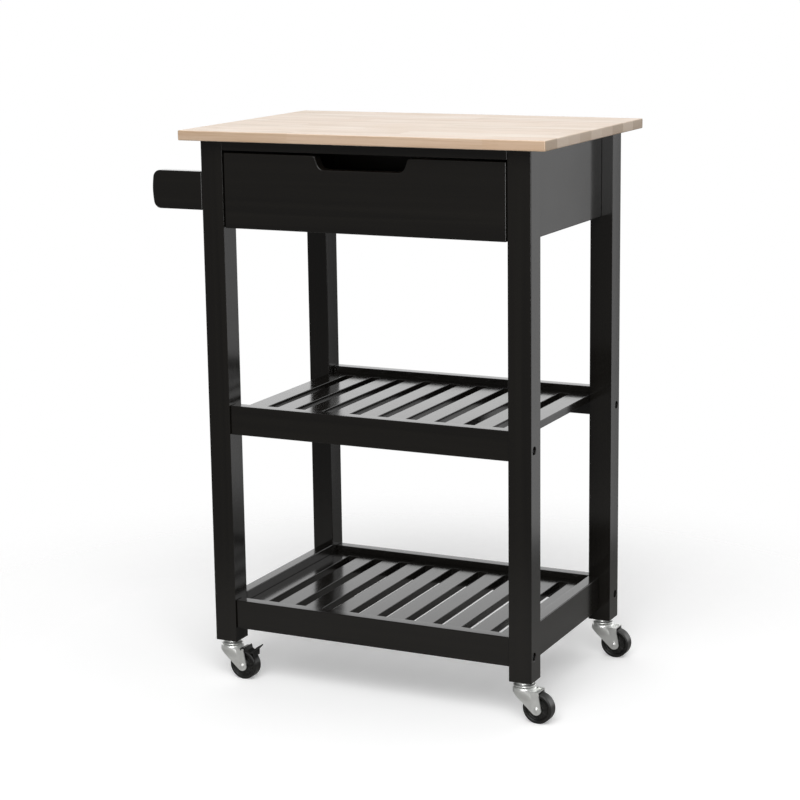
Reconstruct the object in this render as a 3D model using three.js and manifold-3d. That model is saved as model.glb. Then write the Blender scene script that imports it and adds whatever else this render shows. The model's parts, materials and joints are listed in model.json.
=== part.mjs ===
// Rolling kitchen cart: a butcher block top on a black four-legged frame, with one drawer, a push
// handle on the left end, two slatted shelves, and four swivel casters, the two left ones braked.
// Millimetres, +Z up, front towards -Y, origin on the floor under the middle of the overall box.
import * as THREE from "three";
import { mergeVertices } from "three/addons/utils/BufferGeometryUtils.js";
import Module from "manifold-3d";

const wasm = await Module();
wasm.setup();

// ---- Driving dimensions ----------------------------------------------------------------------

const OVERALL_WIDTH = 647.7; // handle's outer end to the top's right edge
const OVERALL_DEPTH = 400;
const OVERALL_HEIGHT = 857.25;
const GAP = 0.3; // clearance between pieces that touch
const OVERLAP = 1; // how far a cutting tool or a joined solid runs past a face
const EASE = 1.2; // chamfer on the edges of the thick boards
const THIN_EASE = 0.8; // chamfer on the edges of the thin boards
const TOP_EASE = 1.5;

const TOP_WIDTH = 589;
const TOP_THICKNESS = 15;
const TOP_UNDERSIDE = OVERALL_HEIGHT - TOP_THICKNESS;

const LEG = 36; // square section
const LEG_X = 248; // leg centres, each side of the frame's middle
const LEG_Y = 164;
const LEG_BOTTOM = 62.5;
const LEG_INNER_X = LEG_X - LEG / 2;
const LEG_INNER_Y = LEG_Y - LEG / 2;
const LEG_OUTER_X = LEG_X + LEG / 2;
const LEG_OUTER_Y = LEG_Y + LEG / 2;

const RAIL_THICKNESS = 18;
const RAIL_SETBACK = 3; // front and rear rails behind the legs' outer faces
const RAIL_Y = LEG_OUTER_Y - RAIL_SETBACK - RAIL_THICKNESS / 2;
const RAIL_HEIGHT = 45;
const MID_RAIL_BOTTOM = 394;
const LOW_RAIL_BOTTOM = 84.6;
const SIDE_RAIL_HEIGHT = 54; // side rails are flush with the legs' inner faces
const SIDE_RAIL_BOTTOM = 80.6;
const SIDE_RAIL_X = LEG_INNER_X + RAIL_THICKNESS / 2;
const APRON_BOTTOM = 710;
const TOP_RAIL_BOTTOM = 827.6;

const PANEL_THICKNESS = 12;
const PANEL_DROP = 10; // shelf surface below the tops of the front and rear rails
const SLOT_COUNT = 9;
const SLOT_PITCH = 47.2;
const SLOT_WIDTH = 17;
const SLOT_LENGTH = 286;
const CLEAT = 12; // square section
const CLEAT_LENGTH = 400;

const DRAWER_FRONT = { width: 456, height: 112.8, thickness: 18, bottom: 711.5, setback: 1 };
const CUTOUT = { mouth: 158, floor: 124, depth: 20.5, corner: 7, mouthLean: 3.5, floorLean: 2.8 };
const DRAWER_BOX = { outerX: 217, wall: 12, bottom: 722, height: 78, rearY: 140 };
const DRAWER_FLOOR = { thickness: 5, bottom: 730, groove: 5, play: 0.5 };
const SLIDE = { length: 298, front: -160, middle: 761, sheet: 1.5, depth: 9, outer: 30, inner: 24.4 };

const ARM = { height: 58, bottom: 737, corner: 12, bulge: 1.4, thickness: 18 };
const BAR = { radius: 12.5, inset: 26, socket: 8, segments: 28 };

const BOLT = { headRadius: 5.2, headHeight: 5, shankRadius: 3, counterbore: 6, recess: 8, grip: 30 };
const BOLT_SOCKET = { radius: 2.6, depth: 3 }; // hexagonal
const BOLT_ABOVE_RAIL_BOTTOM = 17;

// Each caster is drawn with its king pin on the Z axis and its wheel trailing towards +X.
const STEM = { radius: 4.5, bore: 4.8, top: 92.5, boreTop: 94.5 };
const KING_PIN = { radius: 5, bore: 5.4, headRadius: 7.2, headBottom: 45.7, headTop: 47.6 };
const FLANGE = { radius: 16.8, neckRadius: 13.5, edgeTop: 57, neckBottom: 58.2, chamfer: 0.8 };
const FORK = {
  crownBottom: 47.9, crownTop: 49.9, ringTop: 53.9, ringRadius: 17.6, ringChamfer: 1.2, inner: 10.7,
  sheet: 1.8, rear: -15, rearDrop: 45.5, front: 26.5, frontDrop: 44, axleEnd: 8.5, notch: 19.3,
};
const WHEEL = {
  radius: 23, halfWidth: 9, trail: 23.2, shoulder: 2.1,
  hub: 8, dishInner: 8.6, dishOuter: 17.5, rim: 18.2, webHalfWidth: 7,
};
const AXLE = { radius: 2.5, bore: 2.8, headRadius: 4.2, headHeight: 1.4, headEdge: 0.7, headChamfer: 1 };
const PEDAL_PIVOT = { x: 22, z: 49, hub: 2.2, pin: 1.2, bore: 1.5 };
const PEDAL_HALF_WIDTH = 9.4;
const PEDAL_RIM = [ // x and z: underside, lip in front of the tread, tongue, dip, raised rear edge
  [28, 46.9], [31.5, 45.9], [37.5, 42.8], [42.5, 44.2], [42.3, 38.8], [44, 38.8], [44.2, 47.6],
  [51, 54.6], [49.8, 56], [42.4, 48.9], [40, 46.4], [36.8, 45], [31.6, 47.8], [30.2, 54],
  [28.6, 53.8], [26.8, 51.9],
];
const TRAIL_ANGLE = { front_left: 1.5, front_right: 2, rear_left: 3, rear_right: 1 }; // degrees clockwise

// ---- Materials -------------------------------------------------------------------------------

const material = (color, roughness, metalness) =>
  new THREE.MeshStandardMaterial({ color, roughness, metalness });
const WOOD = () => material(0xe3cdb0, 0.5, 0);
const LACQUER = () => material(0x1b1b1b, 0.35, 0);
const STAINED_PLYWOOD = () => material(0x2a2724, 0.6, 0);
const ZINC = () => material(0xc4c6c4, 0.3, 0.9);
const STEEL = () => material(0x8c8c8c, 0.4, 0.9);
const BLACK_PLASTIC = () => material(0x151515, 0.5, 0);

// ---- Solid helpers ---------------------------------------------------------------------------

function solidOf(geometry) {
  const bare = geometry.clone();
  bare.deleteAttribute("normal");
  bare.deleteAttribute("uv");
  const merged = mergeVertices(bare, 1e-4);
  const vertProperties = new Float32Array(merged.attributes.position.array);
  const triVerts = new Uint32Array(merged.index.array);
  return new wasm.Manifold(new wasm.Mesh({ numProp: 3, vertProperties, triVerts }));
}

function geometryOf(solid) {
  const mesh = solid.getMesh();
  const geometry = new THREE.BufferGeometry();
  geometry.setAttribute("position", new THREE.BufferAttribute(mesh.vertProperties, 3));
  geometry.setIndex(new THREE.BufferAttribute(mesh.triVerts, 1));
  geometry.computeVertexNormals();
  return geometry;
}

function cut(geometry, ...tools) {
  return geometryOf(tools.reduce((solid, tool) => solid.subtract(solidOf(tool)), solidOf(geometry)));
}

function join(...geometries) {
  return geometryOf(geometries.map(solidOf).reduce((whole, piece) => whole.add(piece)));
}

/** A box given by its low and high corners, for cutting and joining. */
function block(low, high) {
  const size = high.map((value, axis) => value - low[axis]);
  const middle = high.map((value, axis) => (value + low[axis]) / 2);
  return new THREE.BoxGeometry(...size).translate(...middle);
}

/** A board centred on the origin with every edge eased by a small chamfer. */
function board(sizeX, sizeY, sizeZ, ease = EASE) {
  const x = sizeX / 2;
  const y = sizeY / 2;
  const outline = new THREE.Shape([
    [x - ease, -y], [x, -y + ease], [x, y - ease], [x - ease, y],
    [-x + ease, y], [-x, y - ease], [-x, -y + ease], [-x + ease, -y],
  ].map(([u, v]) => new THREE.Vector2(u, v)));
  const bevel = { bevelThickness: ease, bevelSize: ease, bevelOffset: -ease, bevelSegments: 1 };
  const geometry = new THREE.ExtrudeGeometry(outline, { depth: sizeZ - 2 * ease, ...bevel });
  return geometry.translate(0, 0, ease - sizeZ / 2);
}

/** An outline drawn in X and Z, extruded from y = from to y = to, with its faces' edges eased. */
function plate(outline, from, to, ease = 0, curveSegments = 6) {
  const bevel = ease
    ? { bevelThickness: ease, bevelSize: ease, bevelOffset: -ease, bevelSegments: 1 }
    : { bevelEnabled: false };
  const depth = to - from - 2 * ease;
  const geometry = new THREE.ExtrudeGeometry(outline, { depth, curveSegments, ...bevel });
  return geometry.rotateX(Math.PI / 2).translate(0, to - ease, 0);
}

/** A turned solid about Z; the profile lists [radius, z] pairs. */
function turned(profile, segments) {
  const points = profile.map(([radius, z]) => new THREE.Vector2(radius, z));
  return new THREE.LatheGeometry(points, segments).rotateX(Math.PI / 2);
}

/** A plain round bar about one of the axes "x", "y" or "z", centred on the origin. */
function rod(radius, length, axis, segments = 16) {
  const geometry = new THREE.CylinderGeometry(radius, radius, length, segments);
  if (axis === "x") geometry.rotateZ(Math.PI / 2);
  if (axis === "z") geometry.rotateX(Math.PI / 2);
  return geometry;
}

function place(parent, name, geometry, look, x = 0, y = 0, z = 0) {
  const mesh = new THREE.Mesh(geometry, look());
  mesh.name = name;
  mesh.position.set(x, y, z);
  parent.add(mesh);
}

const CORNERS = [
  { name: "front_left", side: -1, end: -1 },
  { name: "front_right", side: 1, end: -1 },
  { name: "rear_left", side: -1, end: 1 },
  { name: "rear_right", side: 1, end: 1 },
];
const SIDES = [{ name: "left", side: -1 }, { name: "right", side: 1 }];
const ENDS = [{ name: "front", end: -1 }, { name: "rear", end: 1 }];
const BOLT_LEVELS = [
  { name: "mid", z: MID_RAIL_BOTTOM + BOLT_ABOVE_RAIL_BOTTOM },
  { name: "low", z: LOW_RAIL_BOTTOM + BOLT_ABOVE_RAIL_BOTTOM },
];

// ---- Top and legs ----------------------------------------------------------------------------

function addTop(cart) {
  const geometry = board(TOP_WIDTH, OVERALL_DEPTH, TOP_THICKNESS, TOP_EASE);
  place(cart, "top", geometry, WOOD, 0, 0, OVERALL_HEIGHT - TOP_THICKNESS / 2);
}

/** Square leg with counterbored bolt holes in its outer face and a stem bore in its foot. */
function addLeg(cart, { name, side, end }) {
  const height = TOP_UNDERSIDE - GAP - LEG_BOTTOM;
  const middle = LEG_BOTTOM + height / 2;
  const boltY = end * (RAIL_Y - LEG_Y);
  const tools = BOLT_LEVELS.flatMap(({ z }) => [
    rod(BOLT.counterbore, 2 * BOLT.recess, "x").translate(side * LEG / 2, boltY, z - middle),
    rod(BOLT.shankRadius + GAP, LEG + 2 * OVERLAP, "x").translate(0, boltY, z - middle),
  ]);
  const stemBore = rod(STEM.bore, 2 * (STEM.boreTop - LEG_BOTTOM), "z").translate(0, 0, -height / 2);
  const geometry = cut(board(LEG, LEG, height), ...tools, stemBore);
  place(cart, `leg_${name}`, geometry, LACQUER, side * LEG_X, end * LEG_Y, middle);
}

/** Socket head bolt along X; its head faces outwards and its shank runs into the rail's end. */
function addBolt(cart, level, { name, side, end }) {
  const length = BOLT.headHeight + (LEG - BOLT.recess) + BOLT.grip;
  const head = rod(BOLT.headRadius, BOLT.headHeight, "x").translate(-BOLT.headHeight / 2, 0, 0);
  const shank = rod(BOLT.shankRadius, length - OVERLAP, "x").translate(-(length + OVERLAP) / 2, 0, 0);
  const socket = rod(BOLT_SOCKET.radius, 2 * BOLT_SOCKET.depth, "x", 6);
  const geometry = cut(join(head, shank), socket);
  if (side < 0) geometry.rotateZ(Math.PI);
  const x = side * (LEG_OUTER_X - BOLT.recess + BOLT.headHeight + GAP);
  place(cart, `bolt_${level.name}_${name}`, geometry, STEEL, x, end * RAIL_Y, level.z);
}

// ---- Aprons and rails ------------------------------------------------------------------------

function addTopFrame(cart) {
  const span = 2 * (LEG_INNER_X - GAP);
  const apronTop = TOP_UNDERSIDE - GAP;
  const apronHeight = apronTop - APRON_BOTTOM;
  const apronZ = APRON_BOTTOM + apronHeight / 2;
  const railHeight = apronTop - TOP_RAIL_BOTTOM;
  const frontRailY = -LEG_OUTER_Y + RAIL_THICKNESS / 2;
  const frontRail = board(span, RAIL_THICKNESS, railHeight, THIN_EASE);
  place(cart, "top_front_rail", frontRail, LACQUER, 0, frontRailY, TOP_RAIL_BOTTOM + railHeight / 2);
  const rearApron = board(span, RAIL_THICKNESS, apronHeight);
  place(cart, "rear_apron", rearApron, LACQUER, 0, RAIL_Y, apronZ);
  for (const { name, side } of SIDES) {
    const apron = board(RAIL_THICKNESS, 2 * (LEG_INNER_Y - GAP), apronHeight);
    place(cart, `side_apron_${name}`, apron, LACQUER, side * SIDE_RAIL_X, 0, apronZ);
  }
}

/** Front or rear rail of a shelf, bored at both ends for the bolts. */
function boredRail() {
  const span = 2 * (LEG_INNER_X - GAP);
  const z = BOLT_ABOVE_RAIL_BOTTOM - RAIL_HEIGHT / 2;
  const bores = [-1, 1].map((side) =>
    rod(BOLT.shankRadius + GAP, 2 * (BOLT.grip + OVERLAP), "x").translate(side * span / 2, 0, z));
  return cut(board(span, RAIL_THICKNESS, RAIL_HEIGHT), ...bores);
}

/** Shelf panel with open slots that run from front to back. */
function slattedPanel() {
  const width = 2 * (LEG_INNER_X - GAP);
  const depth = 2 * (RAIL_Y - RAIL_THICKNESS / 2 - GAP);
  const slots = Array.from({ length: SLOT_COUNT }, (_, slot) => {
    const x = (slot - (SLOT_COUNT - 1) / 2) * SLOT_PITCH;
    const low = [x - SLOT_WIDTH / 2, -SLOT_LENGTH / 2, -PANEL_THICKNESS];
    return block(low, [x + SLOT_WIDTH / 2, SLOT_LENGTH / 2, PANEL_THICKNESS]);
  });
  return cut(board(width, depth, PANEL_THICKNESS, THIN_EASE), ...slots);
}

/** Rails, panel and the two cleats that the panel rests on. */
function addShelf(cart, level, railBottom) {
  const surface = railBottom + RAIL_HEIGHT - PANEL_DROP;
  const cleatZ = surface - PANEL_THICKNESS - GAP - CLEAT / 2;
  const cleatY = RAIL_Y - RAIL_THICKNESS / 2 - GAP - CLEAT / 2;
  for (const { name, end } of ENDS) {
    const railZ = railBottom + RAIL_HEIGHT / 2;
    place(cart, `${level}_rail_${name}`, boredRail(), LACQUER, 0, end * RAIL_Y, railZ);
    const cleat = board(CLEAT_LENGTH, CLEAT, CLEAT, THIN_EASE);
    place(cart, `${level}_cleat_${name}`, cleat, LACQUER, 0, end * cleatY, cleatZ);
  }
  place(cart, `${level}_panel`, slattedPanel(), LACQUER, 0, 0, surface - PANEL_THICKNESS / 2);
}

function addLowSideRails(cart) {
  const middle = SIDE_RAIL_BOTTOM + SIDE_RAIL_HEIGHT / 2;
  for (const { name, side } of SIDES) {
    const rail = board(RAIL_THICKNESS, 2 * (LEG_INNER_Y - GAP), SIDE_RAIL_HEIGHT);
    place(cart, `low_rail_${name}`, rail, LACQUER, side * SIDE_RAIL_X, 0, middle);
  }
}

// ---- Drawer ----------------------------------------------------------------------------------

/** Drawer front with a wide finger cut-out in its top edge and a groove for the drawer's floor. */
function drawerFront() {
  const { width, height, thickness } = DRAWER_FRONT;
  const { mouth, floor, depth, corner, mouthLean, floorLean } = CUTOUT;
  const [x, m, f, low] = [width / 2, mouth / 2, floor / 2, height - depth];
  const outline = new THREE.Shape();
  outline.moveTo(-x, 0);
  outline.lineTo(x, 0);
  outline.lineTo(x, height);
  outline.lineTo(m + corner, height);
  outline.quadraticCurveTo(m, height, m - mouthLean, height - corner);
  outline.lineTo(f + floorLean, low + corner);
  outline.quadraticCurveTo(f, low, f - corner, low);
  outline.lineTo(-f + corner, low);
  outline.quadraticCurveTo(-f, low, -f - floorLean, low + corner);
  outline.lineTo(-m + mouthLean, height - corner);
  outline.quadraticCurveTo(-m, height, -m - corner, height);
  outline.lineTo(-x, height);
  outline.closePath();
  const grooveLow = DRAWER_FLOOR.bottom - GAP - DRAWER_FRONT.bottom;
  const grooveHigh = grooveLow + DRAWER_FLOOR.thickness + 2 * GAP;
  const grooveX = DRAWER_BOX.outerX - DRAWER_BOX.wall + DRAWER_FLOOR.groove;
  const front = thickness - DRAWER_FLOOR.groove;
  const groove = block([-grooveX, front, grooveLow], [grooveX, thickness + OVERLAP, grooveHigh]);
  return cut(plate(outline, 0, thickness, THIN_EASE), groove);
}

function addDrawer(cart) {
  const frontY = -LEG_OUTER_Y + DRAWER_FRONT.setback;
  const boxFront = frontY + DRAWER_FRONT.thickness + GAP;
  const { outerX, wall, bottom, height, rearY } = DRAWER_BOX;
  const innerX = outerX - wall;
  const middleZ = bottom + height / 2;
  const { thickness, groove, play } = DRAWER_FLOOR;
  const grooveLow = DRAWER_FLOOR.bottom - GAP;
  const grooveHigh = DRAWER_FLOOR.bottom + thickness + GAP;
  const grooveRear = rearY - wall + groove;
  place(cart, "drawer_front", drawerFront(), LACQUER, 0, frontY, DRAWER_FRONT.bottom);
  for (const { name, side } of SIDES) {
    const [near, far] = [side * (innerX - OVERLAP), side * (innerX + groove)].sort((a, b) => a - b);
    const length = rearY - boxFront;
    const sideBoard = board(wall, length, height, THIN_EASE);
    sideBoard.translate(side * (innerX + wall / 2), boxFront + length / 2, middleZ);
    const floorGroove = block([near, boxFront - OVERLAP, grooveLow], [far, grooveRear, grooveHigh]);
    place(cart, `drawer_side_${name}`, cut(sideBoard, floorGroove), STAINED_PLYWOOD);
  }
  const back = board(2 * (innerX - GAP), wall, height, THIN_EASE);
  back.translate(0, rearY - wall / 2, middleZ);
  const backGroove = block([-outerX, rearY - wall - OVERLAP, grooveLow], [outerX, grooveRear, grooveHigh]);
  place(cart, "drawer_back", cut(back, backGroove), STAINED_PLYWOOD);
  const floorX = innerX + groove - play;
  const floorFront = frontY + DRAWER_FRONT.thickness - groove + play;
  const floor = block(
    [-floorX, floorFront, DRAWER_FLOOR.bottom],
    [floorX, grooveRear - play, DRAWER_FLOOR.bottom + thickness],
  );
  place(cart, "drawer_bottom", floor, STAINED_PLYWOOD);
}

/** Channel section along Y: web at x = web, flanges towards x = lip. */
function channel(web, lip, height) {
  const { sheet, length } = SLIDE;
  const h = height / 2;
  const inner = web + Math.sign(lip - web) * sheet;
  const corners = [
    [web, -h], [lip, -h], [lip, -h + sheet], [inner, -h + sheet],
    [inner, h - sheet], [lip, h - sheet], [lip, h], [web, h],
  ];
  const points = corners.map(([x, z]) => new THREE.Vector2(x, z));
  if (lip < web) points.reverse();
  return plate(new THREE.Shape(points), 0, length);
}

/** Fixed rail on the apron and the runner on the drawer side that nests in it. */
function addSlides(cart) {
  for (const { name, side } of SIDES) {
    const rail = channel(side * (LEG_INNER_X - GAP), side * (LEG_INNER_X - SLIDE.depth), SLIDE.outer);
    place(cart, `slide_rail_${name}`, rail, ZINC, 0, SLIDE.front, SLIDE.middle);
    const web = DRAWER_BOX.outerX + GAP;
    const runner = channel(side * web, side * (DRAWER_BOX.outerX + SLIDE.depth), SLIDE.inner);
    place(cart, `slide_runner_${name}`, runner, ZINC, 0, SLIDE.front, SLIDE.middle);
  }
}

// ---- Push handle -----------------------------------------------------------------------------

/** Flat bracket arm with a slightly bulging, round-cornered end and a blind socket for the bar. */
function handleArm(end, reach) {
  const { height, corner, bulge, thickness } = ARM;
  const shoulder = -reach + bulge;
  const outline = new THREE.Shape();
  outline.moveTo(0, 0);
  outline.lineTo(0, height);
  outline.lineTo(shoulder + corner, height);
  outline.absarc(shoulder + corner, height - corner, corner, Math.PI / 2, Math.PI, false);
  outline.quadraticCurveTo(-reach - bulge, height / 2, shoulder, corner);
  outline.absarc(shoulder + corner, corner, corner, Math.PI, 1.5 * Math.PI, false);
  outline.closePath();
  const arm = plate(outline, -thickness / 2, thickness / 2, EASE);
  const socket = rod(BAR.radius + GAP, 2 * BAR.socket, "y", BAR.segments);
  return cut(arm, socket.translate(-reach + BAR.inset, -end * thickness / 2, height / 2));
}

function addHandle(cart) {
  const outerX = OVERALL_WIDTH - TOP_WIDTH / 2;
  const rootX = LEG_OUTER_X + GAP;
  const armY = LEG_OUTER_Y - ARM.thickness / 2;
  for (const { name, end } of ENDS) {
    const arm = handleArm(end, outerX - rootX);
    place(cart, `handle_arm_${name}`, arm, LACQUER, -rootX, end * armY, ARM.bottom);
  }
  const length = 2 * (armY - ARM.thickness / 2 + BAR.socket - GAP);
  const bar = rod(BAR.radius, length, "y", BAR.segments);
  place(cart, "handle_bar", bar, LACQUER, BAR.inset - outerX, 0, ARM.bottom + ARM.height / 2);
}

// ---- Casters ---------------------------------------------------------------------------------

/** Threaded stem, flange and king pin that stay with the leg. */
function casterMount() {
  const flangeBottom = FORK.ringTop + GAP;
  const { radius, neckRadius, edgeTop, neckBottom, chamfer } = FLANGE;
  const neckTop = LEG_BOTTOM - GAP;
  return turned([
    [0, KING_PIN.headBottom], [KING_PIN.headRadius, KING_PIN.headBottom],
    [KING_PIN.headRadius, KING_PIN.headTop], [KING_PIN.radius, KING_PIN.headTop],
    [KING_PIN.radius, flangeBottom], [radius - chamfer, flangeBottom],
    [radius, flangeBottom + chamfer], [radius, edgeTop], [neckRadius, neckBottom],
    [neckRadius, neckTop], [STEM.radius, neckTop], [STEM.radius, STEM.top], [0, STEM.top],
  ], 20);
}

/** One cheek of the fork, with a round end about the axle; inner is its inner face's y. */
function cheek(inner, outer) {
  const { crownTop, rear, rearDrop, front, frontDrop, axleEnd } = FORK;
  const outline = new THREE.Shape();
  outline.moveTo(rear, crownTop);
  outline.lineTo(rear, rearDrop);
  outline.absarc(WHEEL.trail, WHEEL.radius, axleEnd, Math.PI * 1.25, Math.PI * 1.95, false);
  outline.lineTo(front, frontDrop);
  outline.lineTo(front, crownTop);
  outline.closePath();
  return plate(outline, inner, outer, 0, 7);
}

/** Swivelling fork: bearing ring, crown plate and two cheeks, bored for the pin and the axle. A
 *  braked fork's crown is open at the front for the pedal. */
function casterFork(braked) {
  const { crownBottom, crownTop, ringTop, ringRadius, ringChamfer, inner, sheet, rear, front } = FORK;
  const outer = inner + sheet;
  const height = 2 * WHEEL.radius;
  const ring = turned([
    [0, crownTop - OVERLAP / 2], [ringRadius - ringChamfer, crownTop - OVERLAP / 2],
    [ringRadius, crownTop + ringChamfer], [ringRadius, ringTop - ringChamfer],
    [ringRadius - ringChamfer, ringTop], [0, ringTop],
  ], 20);
  const crown = block([rear, -outer, crownBottom], [front, outer, crownTop]);
  const body = join(ring, crown, cheek(inner, outer), cheek(-outer, -inner));
  const tools = [
    rod(KING_PIN.bore, height, "z").translate(0, 0, crownTop),
    rod(AXLE.bore, height, "y").translate(WHEEL.trail, 0, WHEEL.radius),
  ];
  const pivot = rod(PEDAL_PIVOT.bore, height, "y", 12).translate(PEDAL_PIVOT.x, 0, PEDAL_PIVOT.z);
  const opening = block([FORK.notch, -inner, crownBottom - OVERLAP], [front + OVERLAP, inner, ringTop]);
  if (braked) tools.push(pivot, opening);
  return cut(body, ...tools);
}

/** Wheel with a raised hub, a dished web and rounded tread shoulders, turned about its axle. */
function casterWheel() {
  const { radius, halfWidth, shoulder, hub, dishInner, dishOuter, rim, webHalfWidth } = WHEEL;
  const half = [
    [AXLE.bore, halfWidth], [hub, halfWidth], [dishInner, webHalfWidth], [dishOuter, webHalfWidth],
    [rim, halfWidth], [radius - shoulder, halfWidth], [radius, halfWidth - shoulder],
  ];
  const mirrored = [...half].reverse().map(([r, y]) => [r, -y]);
  const profile = [...half, ...mirrored, half[0]].reverse();
  const points = profile.map(([r, y]) => new THREE.Vector2(r, y));
  return new THREE.LatheGeometry(points, 24);
}

/** Rivet through both cheeks and the wheel's hub. */
function casterAxle() {
  const face = FORK.inner + FORK.sheet + GAP;
  const { radius, headRadius, headHeight, headEdge, headChamfer } = AXLE;
  const half = [
    [radius, face], [headRadius, face], [headRadius, face + headEdge],
    [headRadius - headChamfer, face + headHeight],
  ];
  const mirrored = [...half].reverse().map(([r, y]) => [r, -y]);
  const profile = [[0, -face - headHeight], ...mirrored, ...half, [0, face + headHeight]];
  return new THREE.LatheGeometry(profile.map(([r, y]) => new THREE.Vector2(r, y)), 12);
}

/** Brake pedal over the wheel: raised rear edge, dipped shoe, front lip and a tongue for the toe. */
function brakePedal() {
  const { x, z, hub, pin } = PEDAL_PIVOT;
  const outline = new THREE.Shape();
  outline.moveTo(x, z + hub);
  outline.absarc(x, z, hub, Math.PI / 2, Math.PI * 1.5, false);
  PEDAL_RIM.forEach(([u, v]) => outline.lineTo(u, v));
  outline.closePath();
  const arm = plate(outline, -PEDAL_HALF_WIDTH, PEDAL_HALF_WIDTH);
  const trunnion = rod(pin, 2 * (FORK.inner + FORK.sheet - GAP), "y", 12).translate(x, 0, z);
  return join(arm, trunnion);
}

function addCaster(cart, { name, side, end }) {
  const caster = new THREE.Group();
  caster.position.set(side * LEG_X, end * LEG_Y, 0);
  caster.rotation.z = -THREE.MathUtils.degToRad(TRAIL_ANGLE[name]);
  cart.add(caster);
  const braked = side < 0;
  place(caster, `caster_mount_${name}`, casterMount(), ZINC);
  place(caster, `caster_fork_${name}`, casterFork(braked), ZINC);
  place(caster, `caster_wheel_${name}`, casterWheel(), BLACK_PLASTIC, WHEEL.trail, 0, WHEEL.radius);
  place(caster, `caster_axle_${name}`, casterAxle(), ZINC, WHEEL.trail, 0, WHEEL.radius);
  if (braked) place(caster, `brake_pedal_${name}`, brakePedal(), BLACK_PLASTIC);
}

// ---- Assembly --------------------------------------------------------------------------------

const cart = new THREE.Group();
cart.position.x = (OVERALL_WIDTH - TOP_WIDTH) / 2;
addTop(cart);
CORNERS.forEach((corner) => addLeg(cart, corner));
BOLT_LEVELS.forEach((level) => CORNERS.forEach((corner) => addBolt(cart, level, corner)));
addTopFrame(cart);
addShelf(cart, "mid", MID_RAIL_BOTTOM);
addShelf(cart, "low", LOW_RAIL_BOTTOM);
addLowSideRails(cart);
addDrawer(cart);
addSlides(cart);
addHandle(cart);
CORNERS.forEach((corner) => addCaster(cart, corner));

const model = new THREE.Group();
model.add(cart);
export default model;
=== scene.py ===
"""Looks of the rolling kitchen cart: fine meshes, procedural materials, floor, light and camera."""

import json
import math

import bmesh
import bpy
from mathutils import Matrix, Vector


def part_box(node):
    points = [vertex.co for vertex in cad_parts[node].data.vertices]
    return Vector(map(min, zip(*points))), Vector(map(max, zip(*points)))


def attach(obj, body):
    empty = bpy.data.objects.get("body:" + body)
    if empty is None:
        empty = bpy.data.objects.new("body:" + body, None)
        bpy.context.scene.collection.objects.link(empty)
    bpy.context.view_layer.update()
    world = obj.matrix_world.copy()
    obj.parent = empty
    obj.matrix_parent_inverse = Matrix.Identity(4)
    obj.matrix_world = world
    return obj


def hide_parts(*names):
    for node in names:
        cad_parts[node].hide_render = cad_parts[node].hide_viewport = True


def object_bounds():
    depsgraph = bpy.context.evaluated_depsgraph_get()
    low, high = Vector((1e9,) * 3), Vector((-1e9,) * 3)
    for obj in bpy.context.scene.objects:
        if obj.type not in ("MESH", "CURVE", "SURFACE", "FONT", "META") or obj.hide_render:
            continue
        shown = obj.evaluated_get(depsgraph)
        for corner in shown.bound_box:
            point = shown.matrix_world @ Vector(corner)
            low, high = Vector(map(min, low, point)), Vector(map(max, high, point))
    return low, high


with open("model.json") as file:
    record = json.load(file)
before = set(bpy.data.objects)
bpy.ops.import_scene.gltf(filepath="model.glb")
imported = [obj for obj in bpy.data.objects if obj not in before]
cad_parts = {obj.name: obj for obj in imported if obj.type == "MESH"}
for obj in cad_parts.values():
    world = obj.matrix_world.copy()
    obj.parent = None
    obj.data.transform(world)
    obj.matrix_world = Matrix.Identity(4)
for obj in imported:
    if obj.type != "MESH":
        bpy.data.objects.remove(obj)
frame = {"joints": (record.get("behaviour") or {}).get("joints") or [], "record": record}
CAD_LOW, CAD_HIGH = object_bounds()
RECORD = frame["record"]
BODY_OF = {node: body for body, nodes in RECORD["behaviour"]["bodies"].items() for node in nodes}
JOINTS = {joint["name"]: joint for joint in frame["joints"]}
CORNERS = ["front_left", "front_right", "rear_left", "rear_right"]
MM = 0.001

# ---- Shader helpers ---------------------------------------------------------------------------


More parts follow.
